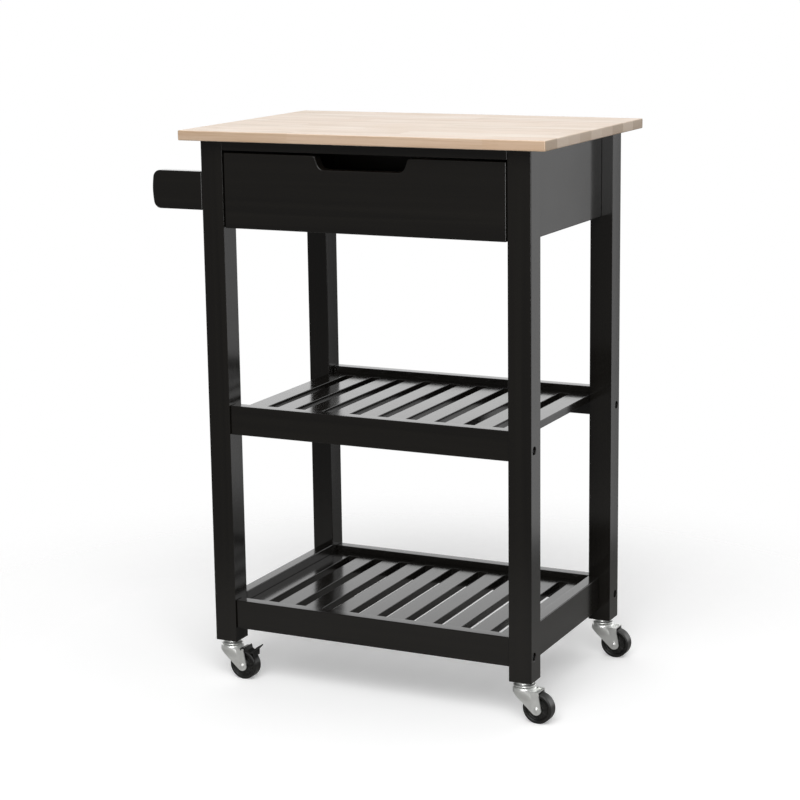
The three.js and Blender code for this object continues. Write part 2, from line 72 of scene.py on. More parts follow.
class Nodes:
    """An emptied node tree, with short calls that add a node and return its output."""

    def __init__(self, tree):
        self.tree = tree
        tree.nodes.clear()

    def feed(self, socket, value):
        if isinstance(value, bpy.types.NodeSocket):
            self.tree.links.new(value, socket)
        elif isinstance(value, (tuple, list)) and len(value) == 3 and socket.type == "RGBA":
            socket.default_value = (*value, 1.0)
        else:
            socket.default_value = value

    def add(self, kind, inputs, output=0, **settings):
        node = self.tree.nodes.new(kind)
        for key, value in settings.items():
            setattr(node, key, value)
        for key, value in inputs.items():
            self.feed(node.inputs[key], value)
        return node.outputs[output]

    def place(self):
        return self.add("ShaderNodeTexCoord", {}, output="Object")

    def normal(self):
        return self.add("ShaderNodeNewGeometry", {}, output="Normal")

    def split(self, vector):
        node = self.tree.nodes.new("ShaderNodeSeparateXYZ")
        self.tree.links.new(vector, node.inputs[0])
        return node.outputs

    def join(self, x, y, z):
        return self.add("ShaderNodeCombineXYZ", {"X": x, "Y": y, "Z": z})

    def calc(self, operation, a, b=0.0):
        return self.add("ShaderNodeMath", {0: a, 1: b}, operation=operation)

    def scaled(self, vector, factors):
        return self.add("ShaderNodeVectorMath", {0: vector, 1: factors}, operation="MULTIPLY")

    def shifted(self, vector, offset):
        return self.add("ShaderNodeVectorMath", {0: vector, 1: offset}, operation="ADD")

    def noise(self, vector, scale, detail=3.0, roughness=0.5, distortion=0.0):
        inputs = {"Vector": vector, "Scale": scale, "Detail": detail}
        inputs.update({"Roughness": roughness, "Distortion": distortion})
        return self.add("ShaderNodeTexNoise", inputs, output="Fac")

    def random(self, x, y, z=0.0):
        """A random number from 0 to 1 for each whole x, y and z."""
        return self.add("ShaderNodeTexWhiteNoise", {"Vector": self.join(x, y, z)}, output="Value")

    def span(self, value, low, high, out_low=0.0, out_high=1.0, smooth=False):
        """value from low..high carried to out_low..out_high, clamped."""
        inputs = {"Value": value, "From Min": low, "From Max": high}
        inputs.update({"To Min": out_low, "To Max": out_high})
        kind = "SMOOTHSTEP" if smooth else "LINEAR"
        return self.add("ShaderNodeMapRange", inputs, interpolation_type=kind)

    def mix(self, factor, a, b):
        """A colour between a and b. A Mix node's colours are its sockets 6 and 7, and output 2."""
        inputs = {"Factor": factor, 6: a, 7: b}
        return self.add("ShaderNodeMix", inputs, output=2, data_type="RGBA")

    def bump(self, height, distance, strength, under=None):
        inputs = {"Height": height, "Distance": distance, "Strength": strength}
        if under is not None:
            inputs["Normal"] = under
        return self.add("ShaderNodeBump", inputs)


class Shader(Nodes):
    """A new material with a Principled surface."""

    def __init__(self, name):
        self.material = bpy.data.materials.new(name)
        self.material.use_nodes = True
        super().__init__(self.material.node_tree)
        output = self.tree.nodes.new("ShaderNodeOutputMaterial")
        self.surface = self.tree.nodes.new("ShaderNodeBsdfPrincipled")
        self.tree.links.new(self.surface.outputs["BSDF"], output.inputs["Surface"])

    def finish(self, **inputs):
        """Feeds the surface; a name's underscores stand for spaces."""
        for key, value in inputs.items():
            self.feed(self.surface.inputs[key.replace("_", " ")], value)
        return self.material


# ---- Materials --------------------------------------------------------------------------------

# How far a stave's joints are shifted is in stave lengths.
STAVE_COUNT = 9
STAVE_WIDTH = 400 / STAVE_COUNT * MM
STAVE_LENGTH = 310 * MM
STAVE_STAGGER = 1.7

PALE_WOOD = (0.920, 0.775, 0.640)
WARM_WOOD = (0.800, 0.595, 0.430)
PINK_WOOD = (0.890, 0.700, 0.550)
BAND_BROWN = (0.640, 0.460, 0.285)
RING_BROWN = (0.56, 0.37, 0.22)
STREAK_BROWN = (0.560, 0.380, 0.240)
PORE_BROWN = (0.34, 0.21, 0.12)
END_BROWN = (0.42, 0.30, 0.19)
END_RING_BROWN = (0.43, 0.27, 0.15)
END_PORE_BROWN = (0.24, 0.14, 0.075)
GLUE_BROWN = (0.36, 0.22, 0.12)


def butcher_block():
    """Edge-glued staves of pale hardwood along X, in lengths with their own tone and grain."""
    s = Shader("butcher_block")
    place = s.place()
    x, y, z = s.split(place)
    stave_at = s.calc("DIVIDE", s.calc("SUBTRACT", y, CAD_LOW.y), STAVE_WIDTH)
    stave = s.calc("FLOOR", stave_at)
    stagger = s.calc("MULTIPLY", s.random(stave, 7.0), STAVE_STAGGER)
    along = s.calc("DIVIDE", s.calc("SUBTRACT", x, CAD_LOW.x), STAVE_LENGTH)
    length_at = s.calc("ADD", along, stagger)
    length = s.calc("FLOOR", length_at)
    tone = s.random(stave, length, 1.0)
    hue = s.random(stave, length, 2.0)
    # Each length's grain is taken from a place of its own.
    spread = ((tone, 3.0), (hue, 5.0), (tone, 7.0))
    own = s.shifted(place, s.join(*[s.calc("MULTIPLY", chance, metres) for chance, metres in spread]))

    # Long grain: soft cathedral bands, finer streaks and short dark pores, all drawn out along X.
    bands = s.noise(s.scaled(own, (2.2, 34.0, 34.0)), 1.0, 3.0, 0.55, 1.2)
    streaks = s.noise(s.scaled(own, (7.0, 420.0, 420.0)), 1.0, 4.0, 0.62, 0.3)
    pore_field = s.noise(s.scaled(own, (55.0, 1500.0, 1500.0)), 1.0, 1.0, 0.5)
    pores = s.span(pore_field, 0.635, 0.70)
    rings = s.calc("SINE", s.calc("MULTIPLY", bands, 46.0))

    # End grain on the two short edges: arcs of growth rings with open pores.
    centre = s.calc("MULTIPLY", s.calc("SUBTRACT", hue, 0.5), 0.05)
    across = s.calc("SUBTRACT", s.calc("MULTIPLY", s.calc("FRACT", stave_at), STAVE_WIDTH), centre)
    below = s.calc("SUBTRACT", z, s.calc("ADD", CAD_HIGH.z - 0.05, s.calc("MULTIPLY", tone, 0.02)))
    radius = s.calc("SQRT", s.calc("ADD", s.calc("POWER", across, 2.0), s.calc("POWER", below, 2.0)))
    wobble = s.calc("MULTIPLY", s.noise(own, 90.0, 2.0), 0.004)
    end_rings = s.calc("SINE", s.calc("MULTIPLY", s.calc("ADD", radius, wobble), 2600.0))
    end_pores = s.span(s.noise(s.scaled(own, (60.0, 1500.0, 1500.0)), 1.0, 1.0), 0.62, 0.70)
    facing = s.calc("ABSOLUTE", s.split(s.normal())[0])
    at_end = s.span(facing, 0.6, 0.8)

    wood = s.mix(tone, PALE_WOOD, WARM_WOOD)
    wood = s.mix(s.calc("MULTIPLY", hue, 0.5), wood, PINK_WOOD)
    long_wood = s.mix(s.span(bands, 0.44, 0.64, 0.0, 0.66), wood, BAND_BROWN)
    long_wood = s.mix(s.span(rings, 0.2, 1.0, 0.0, 0.14), long_wood, RING_BROWN)
    long_wood = s.mix(s.span(streaks, 0.42, 0.70, 0.0, 0.62), long_wood, STREAK_BROWN)
    long_wood = s.mix(s.calc("MULTIPLY", pores, 0.24), long_wood, PORE_BROWN)
    end_wood = s.mix(s.span(tone, 0.2, 0.8, 0.55, 0.98), wood, END_BROWN)
    end_wood = s.mix(s.span(end_rings, -0.2, 1.0, 0.0, 0.30), end_wood, END_RING_BROWN)
    end_wood = s.mix(s.calc("MULTIPLY", end_pores, 0.5), end_wood, END_PORE_BROWN)
    colour = s.mix(at_end, long_wood, end_wood)

    # Glue lines between staves and between the lengths of one stave.
    glue_y = s.calc("ABSOLUTE", s.calc("SUBTRACT", s.calc("FRACT", stave_at), 0.5))
    glue_x = s.calc("ABSOLUTE", s.calc("SUBTRACT", s.calc("FRACT", length_at), 0.5))
    line_y = s.span(glue_y, 0.5 - 0.30 * MM / STAVE_WIDTH, 0.5 - 0.12 * MM / STAVE_WIDTH)
    line_x = s.span(glue_x, 0.5 - 0.35 * MM / STAVE_LENGTH, 0.5 - 0.15 * MM / STAVE_LENGTH)
    line_x = s.calc("MULTIPLY", line_x, s.calc("SUBTRACT", 1.0, at_end))
    line = s.calc("MAXIMUM", line_y, line_x)
    colour = s.mix(s.calc("MULTIPLY", line, 0.55), colour, GLUE_BROWN)

    polish = s.noise(place, 14.0, 3.0)
    roughness = s.calc("ADD", s.span(polish, 0.3, 0.7, 0.36, 0.46), s.calc("MULTIPLY", streaks, 0.08))
    relief = s.calc("SUBTRACT", s.calc("MULTIPLY", streaks, 0.5), s.calc("ADD", pores, line))
    return s.finish(
        Base_Color=colour, Roughness=roughness, Normal=s.bump(relief, 0.05 * MM, 0.5), IOR=1.48,
        Coat_Weight=0.35, Coat_Roughness=0.28, Coat_IOR=1.5,
    )


def lacquer(axis):
    """Black semi-gloss lacquer over wood whose grain runs along the axis and shows faintly through."""
    s = Shader(f"black_lacquer_{axis}")
    place = s.place()
    long, cross, figure_share = 5.0, 260.0, 0.16
    factors = tuple(long if letter == axis else cross for letter in "xyz")
    grain = s.noise(s.scaled(place, factors), 1.0, 4.0, 0.6, 0.4)
    figure = s.noise(s.scaled(place, tuple(f * figure_share for f in factors)), 1.0, 2.0, 0.5, 1.5)
    peel = s.noise(place, 620.0, 2.0, 0.5)
    haze = s.noise(place, 11.0, 3.0, 0.6)
    colour = s.mix(s.span(figure, 0.3, 0.7), (0.0062, 0.0055, 0.0047), (0.0090, 0.0080, 0.0066))
    roughness = s.calc("ADD", s.span(haze, 0.3, 0.7, 0.135, 0.165), s.calc("MULTIPLY", grain, 0.03))
    normal = s.bump(grain, 0.0025 * MM, 0.5)
    normal = s.bump(peel, 0.002 * MM, 0.5, normal)
    return s.finish(Base_Color=colour, Roughness=roughness, Normal=normal, IOR=1.48)


PLY_LAYER = 1.5 * MM


def plywood(thin):
    """Birch plywood in near-black tones, which paint the shade inside the drawer; its grain and layers
    are its own. thin is the axis across its layers, which show on its cut edges.
    """
    s = Shader(f"drawer_plywood_{thin}")
    place = s.place()
    axis = "xyz".index(thin)
    across = s.split(place)[axis]
    facing = s.calc("ABSOLUTE", s.split(s.normal())[axis])
    on_edge = s.span(facing, 0.75, 0.55)
    layer = s.calc("FLOOR", s.calc("DIVIDE", across, PLY_LAYER))
    odd = s.calc("MULTIPLY", s.calc("FRACT", s.calc("MULTIPLY", layer, 0.5)), 2.0)
    factors = {"x": 6.0, "y": 6.0, "z": 70.0}
    factors[thin] = 180.0
    factors = tuple(factors.values())
    grain = s.noise(s.scaled(place, factors), 1.0, 4.0, 0.6, 0.8)
    flecks = s.span(s.noise(s.scaled(place, tuple(f * 6 for f in factors)), 1.0, 1.0), 0.62, 0.72)
    # Near-black face and edge tones: painted shade for the unlit inside of the drawer.
    face = s.mix(s.span(grain, 0.3, 0.7), (0.0230, 0.0200, 0.0170), (0.0120, 0.0105, 0.0090))
    face = s.mix(s.calc("MULTIPLY", flecks, 0.35), face, (0.0035, 0.0032, 0.0030))
    edge = s.mix(odd, (0.0330, 0.0280, 0.0230), (0.0140, 0.0120, 0.0100))
    colour = s.mix(on_edge, face, edge)
    return s.finish(Base_Color=colour, Roughness=s.span(grain, 0.2, 0.8, 0.45, 0.60),
                    Normal=s.bump(grain, 0.04 * MM, 0.5))


def zinc():
    """Bright zinc plate on pressed steel: soft clouding, faint tumbling marks and fine grain."""
    s = Shader("zinc")
    place = s.place()
    cloud = s.noise(place, 70.0, 3.0, 0.5, 0.4)
    scuffs = s.noise(s.scaled(place, (400.0, 400.0, 1600.0)), 1.0, 3.0, 0.7)
    fine = s.noise(place, 2600.0, 2.0, 0.6)
    colour = s.mix(s.span(cloud, 0.3, 0.7), (0.80, 0.81, 0.79), (0.90, 0.91, 0.89))
    roughness = s.calc("ADD", s.span(cloud, 0.3, 0.7, 0.26, 0.33), s.calc("MULTIPLY", scuffs, 0.08))
    normal = s.bump(fine, 0.006 * MM, 0.5, s.bump(cloud, 0.05 * MM, 0.3))
    return s.finish(Base_Color=colour, Metallic=0.80, Roughness=roughness, Normal=normal)


def slide_steel():
    """Galvanised strip, drawn along Y."""
    s = Shader("slide_steel")
    place = s.place()
    drawn = s.noise(s.scaled(place, (1400.0, 7.0, 1400.0)), 1.0, 4.0, 0.6)
    cloud = s.noise(place, 60.0, 3.0)
    colour = s.mix(s.span(cloud, 0.3, 0.7), (0.56, 0.57, 0.58), (0.70, 0.71, 0.71))
    roughness = s.calc("ADD", s.span(drawn, 0.3, 0.7, 0.26, 0.40), s.calc("MULTIPLY", cloud, 0.06))
    return s.finish(Base_Color=colour, Metallic=1.0, Roughness=roughness,
                    Normal=s.bump(drawn, 0.02 * MM, 0.5))


def bolt_steel():
    """Black oxide socket screws, rubbed a little brighter where the key turns."""
    s = Shader("bolt_steel")
    place = s.place()
    cloud = s.noise(place, 300.0, 4.0, 0.6)
    colour = s.mix(s.span(cloud, 0.4, 0.7), (0.035, 0.035, 0.038), (0.11, 0.11, 0.115))
    return s.finish(Base_Color=colour, Metallic=1.0, Roughness=s.span(cloud, 0.3, 0.7, 0.32, 0.48),
                    Normal=s.bump(cloud, 0.02 * MM, 0.4))


def moulded(name, dark, light, gloss, grain):
    """Moulded plastic: fine spark-eroded texture, a little uneven in tone and gloss."""
    s = Shader(name)
    place = s.place()
    texture = s.noise(place, grain, 2.0, 0.6)
    smudge = s.noise(place, 55.0, 4.0, 0.6, 0.5)
    colour = s.mix(s.span(smudge, 0.35, 0.75), dark, light)
    uneven = s.span(smudge, 0.3, 0.7, gloss, gloss + 0.10)
    roughness = s.calc("ADD", uneven, s.calc("MULTIPLY", texture, 0.06))
    return s.finish(Base_Color=colour, Roughness=roughness, Normal=s.bump(texture, 0.02 * MM, 0.6))


def floor_look():
    """Pale floor, which fades into the white surroundings away from the cart. Other rays than the
    camera's find it grey, so that it throws less light up at the black undersides."""
    s = Shader("floor")
    x, y, _ = s.split(s.place())
    away = s.calc("SQRT", s.calc("ADD", s.calc("POWER", x, 2.0), s.calc("POWER", y, 2.0)))
    seen = s.add("ShaderNodeLightPath", {}, output="Is Camera Ray")
    speck = s.noise(s.place(), 3.0, 3.0)
    white = s.mix(s.span(speck, 0.3, 0.7), (0.90, 0.90, 0.90), (0.915, 0.915, 0.915))
    grey = s.mix(s.span(speck, 0.3, 0.7), (0.36, 0.355, 0.345), (0.40, 0.395, 0.385))
    return s.finish(
        Base_Color=s.mix(seen, grey, white), Roughness=0.9, Specular_IOR_Level=0.0,
        Emission_Color=s.mix(seen, (0.0, 0.0, 0.0), (0.25, 0.25, 0.25)), Emission_Strength=1.0,
        Alpha=s.span(away, 0.45, 1.15, 1.0, 0.0, smooth=True),
    )


WHEEL_TONES = (0.0045, 0.0045, 0.004), (0.0105, 0.010, 0.009)
PEDAL_TONES = (0.005, 0.005, 0.005), (0.010, 0.010, 0.009)

LOOKS = {
    "butcher_block": butcher_block(),
    "lacquer_x": lacquer("x"),
    "lacquer_y": lacquer("y"),
    "lacquer_z": lacquer("z"),
    "ply_x": plywood("x"),
    "ply_y": plywood("y"),
    "ply_z": plywood("z"),
    "zinc": zinc(),
    "slide_steel": slide_steel(),
    "bolt_steel": bolt_steel(),
    "wheel_black": moulded("wheel_black", *WHEEL_TONES, 0.27, 1500.0),
    "pedal_black": moulded("pedal_black", *PEDAL_TONES, 0.34, 1900.0),
    "floor": floor_look(),
}

# ---- Mesh helpers -----------------------------------------------------------------------------

SMOOTH_ANGLE = math.radians(32)
BEVEL_ANGLE = math.radians(35)
EASED_SMOOTH_ANGLE = math.radians(50)

# Where an outline's u and v, and the way w along the axis, go in x, y and z.
LIFT = {
    "x": lambda u, v, w: (w, u, v),
    "y": lambda u, v, w: (u, w, v),
    "z": lambda u, v, w: (u, v, w),
}


def mesh_object(name, bm, look):
    """A linked object from a bmesh, shaded smooth except at its sharp edges."""
    bmesh.ops.recalc_face_normals(bm, faces=bm.faces)
    mesh = bpy.data.meshes.new(name)
    bm.to_mesh(mesh)
    bm.free()
    mesh.shade_smooth()
    mesh.set_sharp_from_angle(angle=SMOOTH_ANGLE)
    mesh.materials.append(LOOKS[look])
    made = bpy.data.objects.new(name, mesh)
    bpy.context.scene.collection.objects.link(made)
    return made


def box_mesh(low, high):
    bm = bmesh.new()
    bmesh.ops.create_cube(bm, size=1.0)
    low, high = Vector(low), Vector(high)
    bmesh.ops.transform(bm, verts=bm.verts, matrix=Matrix.Diagonal((*(high - low), 1.0)))
    bmesh.ops.translate(bm, verts=bm.verts, vec=(low + high) / 2)
    return bm


def arc(centre, radius, start, end, steps):
    """Points on a circle from start to end, in degrees."""
    angles = [math.radians(start + (end - start) * i / steps) for i in range(steps + 1)]
    return [(centre[0] + radius * math.cos(a), centre[1] + radius * math.sin(a)) for a in angles]


def circle(centre, radius, count):
    """A whole circle of that many points."""
    return arc(centre, radius, 0, 360, count)[:-1]


def extruded(outline, low, high, axis):
    """An outline extruded along an axis from low to high. Along y it is drawn in x and z, along z in
    x and y, and along x in y and z."""
    lift = LIFT[axis]
    bm = bmesh.new()
    ends = [[bm.verts.new(lift(u, v, w)) for u, v in outline] for w in (low, high)]
    bm.faces.new(ends[0])
    bm.faces.new(list(reversed(ends[1])))
    count = len(outline)
    for i in range(count):
        j = (i + 1) % count
        bm.faces.new((ends[0][i], ends[1][i], ends[1][j], ends[0][j]))
    return bm


def turned(profile, axis, segments, closed=False):
    """A lathed solid. The profile lists (radius, height) pairs, and starts and ends at radius 0, or
    is closed on itself for a ring."""
    lift = LIFT[axis]
    bm = bmesh.new()
    rings = []
    for radius, height in profile:
        points = circle((0, 0), radius, segments) if radius else [(0, 0)]
        rings.append([bm.verts.new(lift(u, v, height)) for u, v in points])
    pairs = list(zip(rings, rings[1:]))
    if closed:
        pairs.append((rings[-1], rings[0]))
    for a, b in pairs:
        for i in range(segments):
            j = (i + 1) % segments
            corners = [a[i % len(a)], a[j % len(a)], b[j % len(b)], b[i % len(b)]]
            bm.faces.new(list(dict.fromkeys(corners)))
    return bm


def merged(*parts):
    """Several bmeshes as one."""
    whole = bmesh.new()
    for part in parts:
        mesh = bpy.data.meshes.new("part")
        bmesh.ops.recalc_face_normals(part, faces=part.faces)
        part.to_mesh(mesh)
        part.free()
        whole.from_mesh(mesh)
        bpy.data.meshes.remove(mesh)
    return whole


def combine(made, operation, others):
    """Applies a boolean with each of the other objects, and removes them."""
    for other in others:
        modifier = made.modifiers.new("combine", "BOOLEAN")
        modifier.operation = operation
        modifier.solver = "EXACT"
        modifier.object = other
    bake(made)
    for other in others:
        bpy.data.meshes.remove(other.data)
    return made


def cut(made, *tools):
    """Takes the tools' solids away from an object's mesh. Their own look is never seen."""
    return combine(made, "DIFFERENCE", [mesh_object("cutter", tool, "zinc") for tool in tools])


def fuse(made, *others):
    """Joins closed objects into one solid."""
    return combine(made, "UNION", others)


def bake(made):
    """Makes the modifiers' result the object's own mesh."""
    graph = bpy.context.evaluated_depsgraph_get()
    mesh = bpy.data.meshes.new_from_object(made.evaluated_get(graph))
    made.modifiers.clear()
    old = made.data
    made.data = mesh
    bpy.data.meshes.remove(old)


def eased(made, radius, segments=3):
    """Rounds every sharp edge and keeps the wide faces flat in the shading. Edges still marked sharp
    would keep the bevel from blending, so the marks go first and come back after it."""
    made.data.set_sharp_from_angle(angle=math.pi)
    bevel = made.modifiers.new("ease", "BEVEL")
    bevel.width = radius
    bevel.segments = segments
    bevel.limit_method = "ANGLE"
    bevel.angle_limit = BEVEL_ANGLE
    bevel.use_clamp_overlap = True
    bevel.miter_outer = "MITER_ARC"
    bake(made)
    made.data.set_sharp_from_angle(angle=EASED_SMOOTH_ANGLE)
    made.modifiers.new("flat_faces", "WEIGHTED_NORMAL").keep_sharp = True
    bake(made)
    return made


def stands_for(made, node):
    """Gives the piece its CAD node's body, and hides the node."""
    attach(made, BODY_OF[node])
    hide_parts(node)


def goes_with(made, node):
    """A small extra piece that moves with a CAD node."""
    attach(made, BODY_OF[node])


def board(node, look, radius=1.2 * MM):
    """A board the size of its CAD node, with rounded edges."""
    low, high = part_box(node)
    made = mesh_object(f"fine_{node}", box_mesh(low, high), look)
    stands_for(eased(made, radius), node)


# ---- Legs and bolts ---------------------------------------------------------------------------

COUNTERBORE_RADIUS = 6 * MM
COUNTERBORE_DEPTH = 8 * MM


def make_leg(corner):
    """Leg with a counterbore for each of its two bolts."""
    node = f"leg_{corner}"
    low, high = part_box(node)
    made = mesh_object(f"fine_{node}", box_mesh(low, high), "lacquer_z")
    left = "left" in corner
    face = low.x if left else high.x
    floor = face + (COUNTERBORE_DEPTH if left else -COUNTERBORE_DEPTH)
    outside = face - (floor - face)
    tools = []
    for level in ("mid", "low"):
        bolt_low, bolt_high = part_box(f"bolt_{level}_{corner}")
        centre = (bolt_low + bolt_high) / 2
        ring = circle((centre.y, centre.z), COUNTERBORE_RADIUS, 48)
        tools.append(extruded(ring, floor, outside, "x"))
    stands_for(eased(cut(made, *tools), 1.1 * MM), node)


def make_bolt(level, corner):
    """Socket head cap screw; only its head shows, at the bottom of the counterbore."""
    node = f"bolt_{level}_{corner}"
    low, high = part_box(node)
    head_radius, shank_radius, head_height = 5.2 * MM, 3 * MM, 5 * MM
    key_radius, key_depth = 2.6 * MM, 3 * MM
    length = high.x - low.x
    profile = [(0, 0), (head_radius - 0.8 * MM, 0), (head_radius - 0.2 * MM, -0.25 * MM)]
    profile += [(head_radius, -0.9 * MM), (head_radius, -head_height), (shank_radius, -head_height)]
    profile += [(shank_radius, -length + 0.8 * MM), (shank_radius - 0.8 * MM, -length), (0, -length)]
    made = mesh_object(f"fine_{node}", turned(profile, "x", 40), "bolt_steel")
    cut(made, extruded(circle((0, 0), key_radius, 6), -key_depth, 1 * MM, "x"))
    left = "left" in corner
    turn = Matrix.Rotation(math.pi, 4, "Z") if left else Matrix.Identity(4)
    face = low.x if left else high.x
    spot = Matrix.Translation((face, (low.y + high.y) / 2, (low.z + high.z) / 2))
    made.data.transform(spot @ turn)
    stands_for(made, node)


# ---- Frame and shelves ------------------------------------------------------------------------


def make_boards():
    """Every plain board of the frame and the shelves."""
    board("top_front_rail", "lacquer_x", 0.8 * MM)
    board("rear_apron", "lacquer_x")
    for side in ("left", "right"):
        board(f"side_apron_{side}", "lacquer_y")
        board(f"low_rail_{side}", "lacquer_y")
    for level in ("mid", "low"):
        for end in ("front", "rear"):
            board(f"{level}_rail_{end}", "lacquer_x")
            board(f"{level}_cleat_{end}", "lacquer_x", 0.8 * MM)


SLOT_COUNT = 9
SLOT_PITCH = 47.2 * MM
SLOT_WIDTH = 17 * MM
SLOT_LENGTH = 286 * MM


def make_panel(level):
    """Slatted shelf panel, with eased edges round every slot."""
    node = f"{level}_panel"
    low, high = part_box(node)
    centre = (low + high) / 2
    xs = [low.x, high.x]
    for slot in range(SLOT_COUNT):
        x = centre.x + (slot - (SLOT_COUNT - 1) / 2) * SLOT_PITCH
        xs += [x - SLOT_WIDTH / 2, x + SLOT_WIDTH / 2]
    xs.sort()
    ys = [low.y, centre.y - SLOT_LENGTH / 2, centre.y + SLOT_LENGTH / 2, high.y]
    bm = bmesh.new()
    levels = [[[bm.verts.new((x, y, z)) for y in ys] for x in xs] for z in (low.z, high.z)]
    solid = {(i, j) for i in range(len(xs) - 1) for j in range(3) if j != 1 or i % 2 == 0}
    for i, j in solid:
        for sheet in levels:
            bm.faces.new((sheet[i][j], sheet[i + 1][j], sheet[i + 1][j + 1], sheet[i][j + 1]))
        walls = {(i - 1, j): ((i, j), (i, j + 1)), (i + 1, j): ((i + 1, j), (i + 1, j + 1))}
        walls.update({(i, j - 1): ((i, j), (i + 1, j)), (i, j + 1): ((i, j + 1), (i + 1, j + 1))})
        for neighbour, ((a, b), (c, d)) in walls.items():
            if neighbour not in solid:
                bm.faces.new((levels[0][a][b], levels[0][c][d], levels[1][c][d], levels[1][a][b]))
    bmesh.ops.dissolve_limit(bm, angle_limit=0.01, verts=bm.verts, edges=bm.edges)
    made = mesh_object(f"fine_{node}", bm, "lacquer_y")
    stands_for(eased(made, 0.9 * MM), node)


# ---- Drawer -----------------------------------------------------------------------------------

# The slope of the cut-out's sides is in degrees.
CUTOUT_MOUTH = 158 * MM
CUTOUT_FLOOR = 119 * MM
CUTOUT_DEPTH = 20.5 * MM
CUTOUT_SLOPE = 69.4
GROOVE_PLAY = 0.3 * MM
STRIP = 1.5 * MM
STRIP_BEND = 2.4 * MM


def make_drawer_front():
    """Drawer front with a wide finger cut-out, its upper corners rounded over and its lower ones
    round."""
    node = "drawer_front"
    low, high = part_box(node)
    middle = (low.x + high.x) / 2
    floor = high.z - CUTOUT_DEPTH
    lip, well = 5 * MM, 12 * MM
    # The right side from its shoulder down: the lip's convex arc, the slope, the well's concave arc.
    right = arc((CUTOUT_MOUTH / 2, high.z - lip), lip, 90, 90 + CUTOUT_SLOPE, 8)
    right += arc((CUTOUT_FLOOR / 2, floor + well), well, CUTOUT_SLOPE - 90, -90, 12)
    half = [(middle + x, z) for x, z in right]
    other = [(middle - x, z) for x, z in reversed(right)]
    outline = [(low.x, low.z), (high.x, low.z), (high.x, high.z), *half, *other, (low.x, high.z)]
    made = mesh_object(f"fine_{node}", extruded(outline, low.y, high.y, "y"), "lacquer_x")
    floor_low, floor_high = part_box("drawer_bottom")
    play = GROOVE_PLAY
    groove_low = (floor_low.x - play, floor_low.y - play, floor_low.z - play)
    groove_high = (floor_high.x + play, high.y + 1 * MM, floor_high.z + play)
    cut(made, box_mesh(groove_low, groove_high))
    stands_for(eased(made, 1.6 * MM, 4), node)


def make_drawer_box():
    """Sides and back of plywood, grooved for the bottom panel."""
    floor_low, floor_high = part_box("drawer_bottom")
    play = GROOVE_PLAY
    groove_low = Vector(floor_low) - Vector((play, 20 * MM, play))
    groove_high = Vector(floor_high) + Vector((play, play, play))
    for name, look in (("side_left", "ply_x"), ("side_right", "ply_x"), ("back", "ply_y")):
        node = f"drawer_{name}"
        low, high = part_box(node)
        made = mesh_object(f"fine_{node}", box_mesh(low, high), look)
        cut(made, box_mesh(groove_low, groove_high))
        stands_for(eased(made, 0.9 * MM, 2), node)
    board("drawer_bottom", "ply_z", 0.4 * MM)


def strip_profile(web, lip, low, high):
    """A channel of bent strip with round corners, drawn in x and z; web and lip are its x's."""
    way = 1 if lip > web else -1

    def corner(z, up, radius, inward):
        centre = (web + way * (STRIP * inward + radius), z - up * (STRIP * inward + radius))
        start = 180 if way > 0 else 0
        turn = (-90 if up > 0 else 90) * way
        return arc(centre, radius, start, start + turn, 5)

    inner = STRIP_BEND - STRIP
    outside = list(reversed(corner(low, -1, STRIP_BEND, 0))) + corner(high, 1, STRIP_BEND, 0)
    inside = list(reversed(corner(low, -1, inner, 1))) + corner(high, 1, inner, 1)
    tips_high = [(lip, high), (lip, high - STRIP)]
    tips_low = [(lip, low + STRIP), (lip, low)]
    return outside + tips_high + list(reversed(inside)) + tips_low


def screw_head(radius, height, way):
    """Low round head with its rim on the plane 0 and its crown at way * height along x."""
    slants = [math.radians(9 * i) for i in range(10)]
    crown = [(radius * math.cos(a), way * height * math.sin(a)) for a in slants]
    return turned([(0, 0), *crown, (0, way * height)], "x", 32)


def make_slides():
    """Two nested channels on each side of the drawer, with the screws that hold the inner one."""
    for side, way in (("left", -1), ("right", 1)):
        for part in ("rail", "runner"):
            node = f"slide_{part}_{side}"
            low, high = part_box(node)
            outward = part == "rail"
            web, lip = (high.x, low.x) if (way > 0) == outward else (low.x, high.x)
            channel = extruded(strip_profile(web, lip, low.z, high.z), low.y, high.y, "y")
            made = mesh_object(f"fine_{node}", channel, "slide_steel")
            stands_for(eased(made, 0.25 * MM, 2), node)
        low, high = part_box(f"slide_runner_{side}")
        web = low.x + STRIP if way > 0 else high.x - STRIP
        heads = []
        for share in (0.08, 0.5, 0.92):
            head = screw_head(3.4 * MM, 1.5 * MM, way)
            spot = (web, low.y + (high.y - low.y) * share, (low.z + high.z) / 2)
            bmesh.ops.translate(head, verts=head.verts, vec=spot)
            heads.append(head)
        screws = mesh_object(f"slide_screws_{side}", merged(*heads), "slide_steel")
        goes_with(screws, f"slide_runner_{side}")


# ---- Push handle ------------------------------------------------------------------------------

ARM_CORNER = 12 * MM
ARM_SWELL_RADIUS = 105 * MM
BAR_PLAY = 0.3 * MM
BAR_EASE = 1 * MM


def arm_outline(low, high):
    """An arm in x and z: square at the leg, with two round corners and a slight swell at its free
    end."""
    corner, swell_radius = ARM_CORNER, ARM_SWELL_RADIUS
    rise = (high.z - low.z) / 2 - corner
    half_angle = math.degrees(math.asin(rise / swell_radius))
    face = low.x + swell_radius * (1 - math.cos(math.radians(half_angle)))
    lean, reach = half_angle * 0.6, half_angle * 0.8
    outline = [(high.x, low.z), (high.x, high.z)]
    outline += arc((face + corner, high.z - corner), corner, 90, 180 - lean, 10)
    middle = (low.x + swell_radius, (low.z + high.z) / 2)
    outline += arc(middle, swell_radius, 180 - reach, 180 + reach, 6)
    outline += arc((face + corner, low.z + corner), corner, 180 + lean, 270, 10)
    return outline


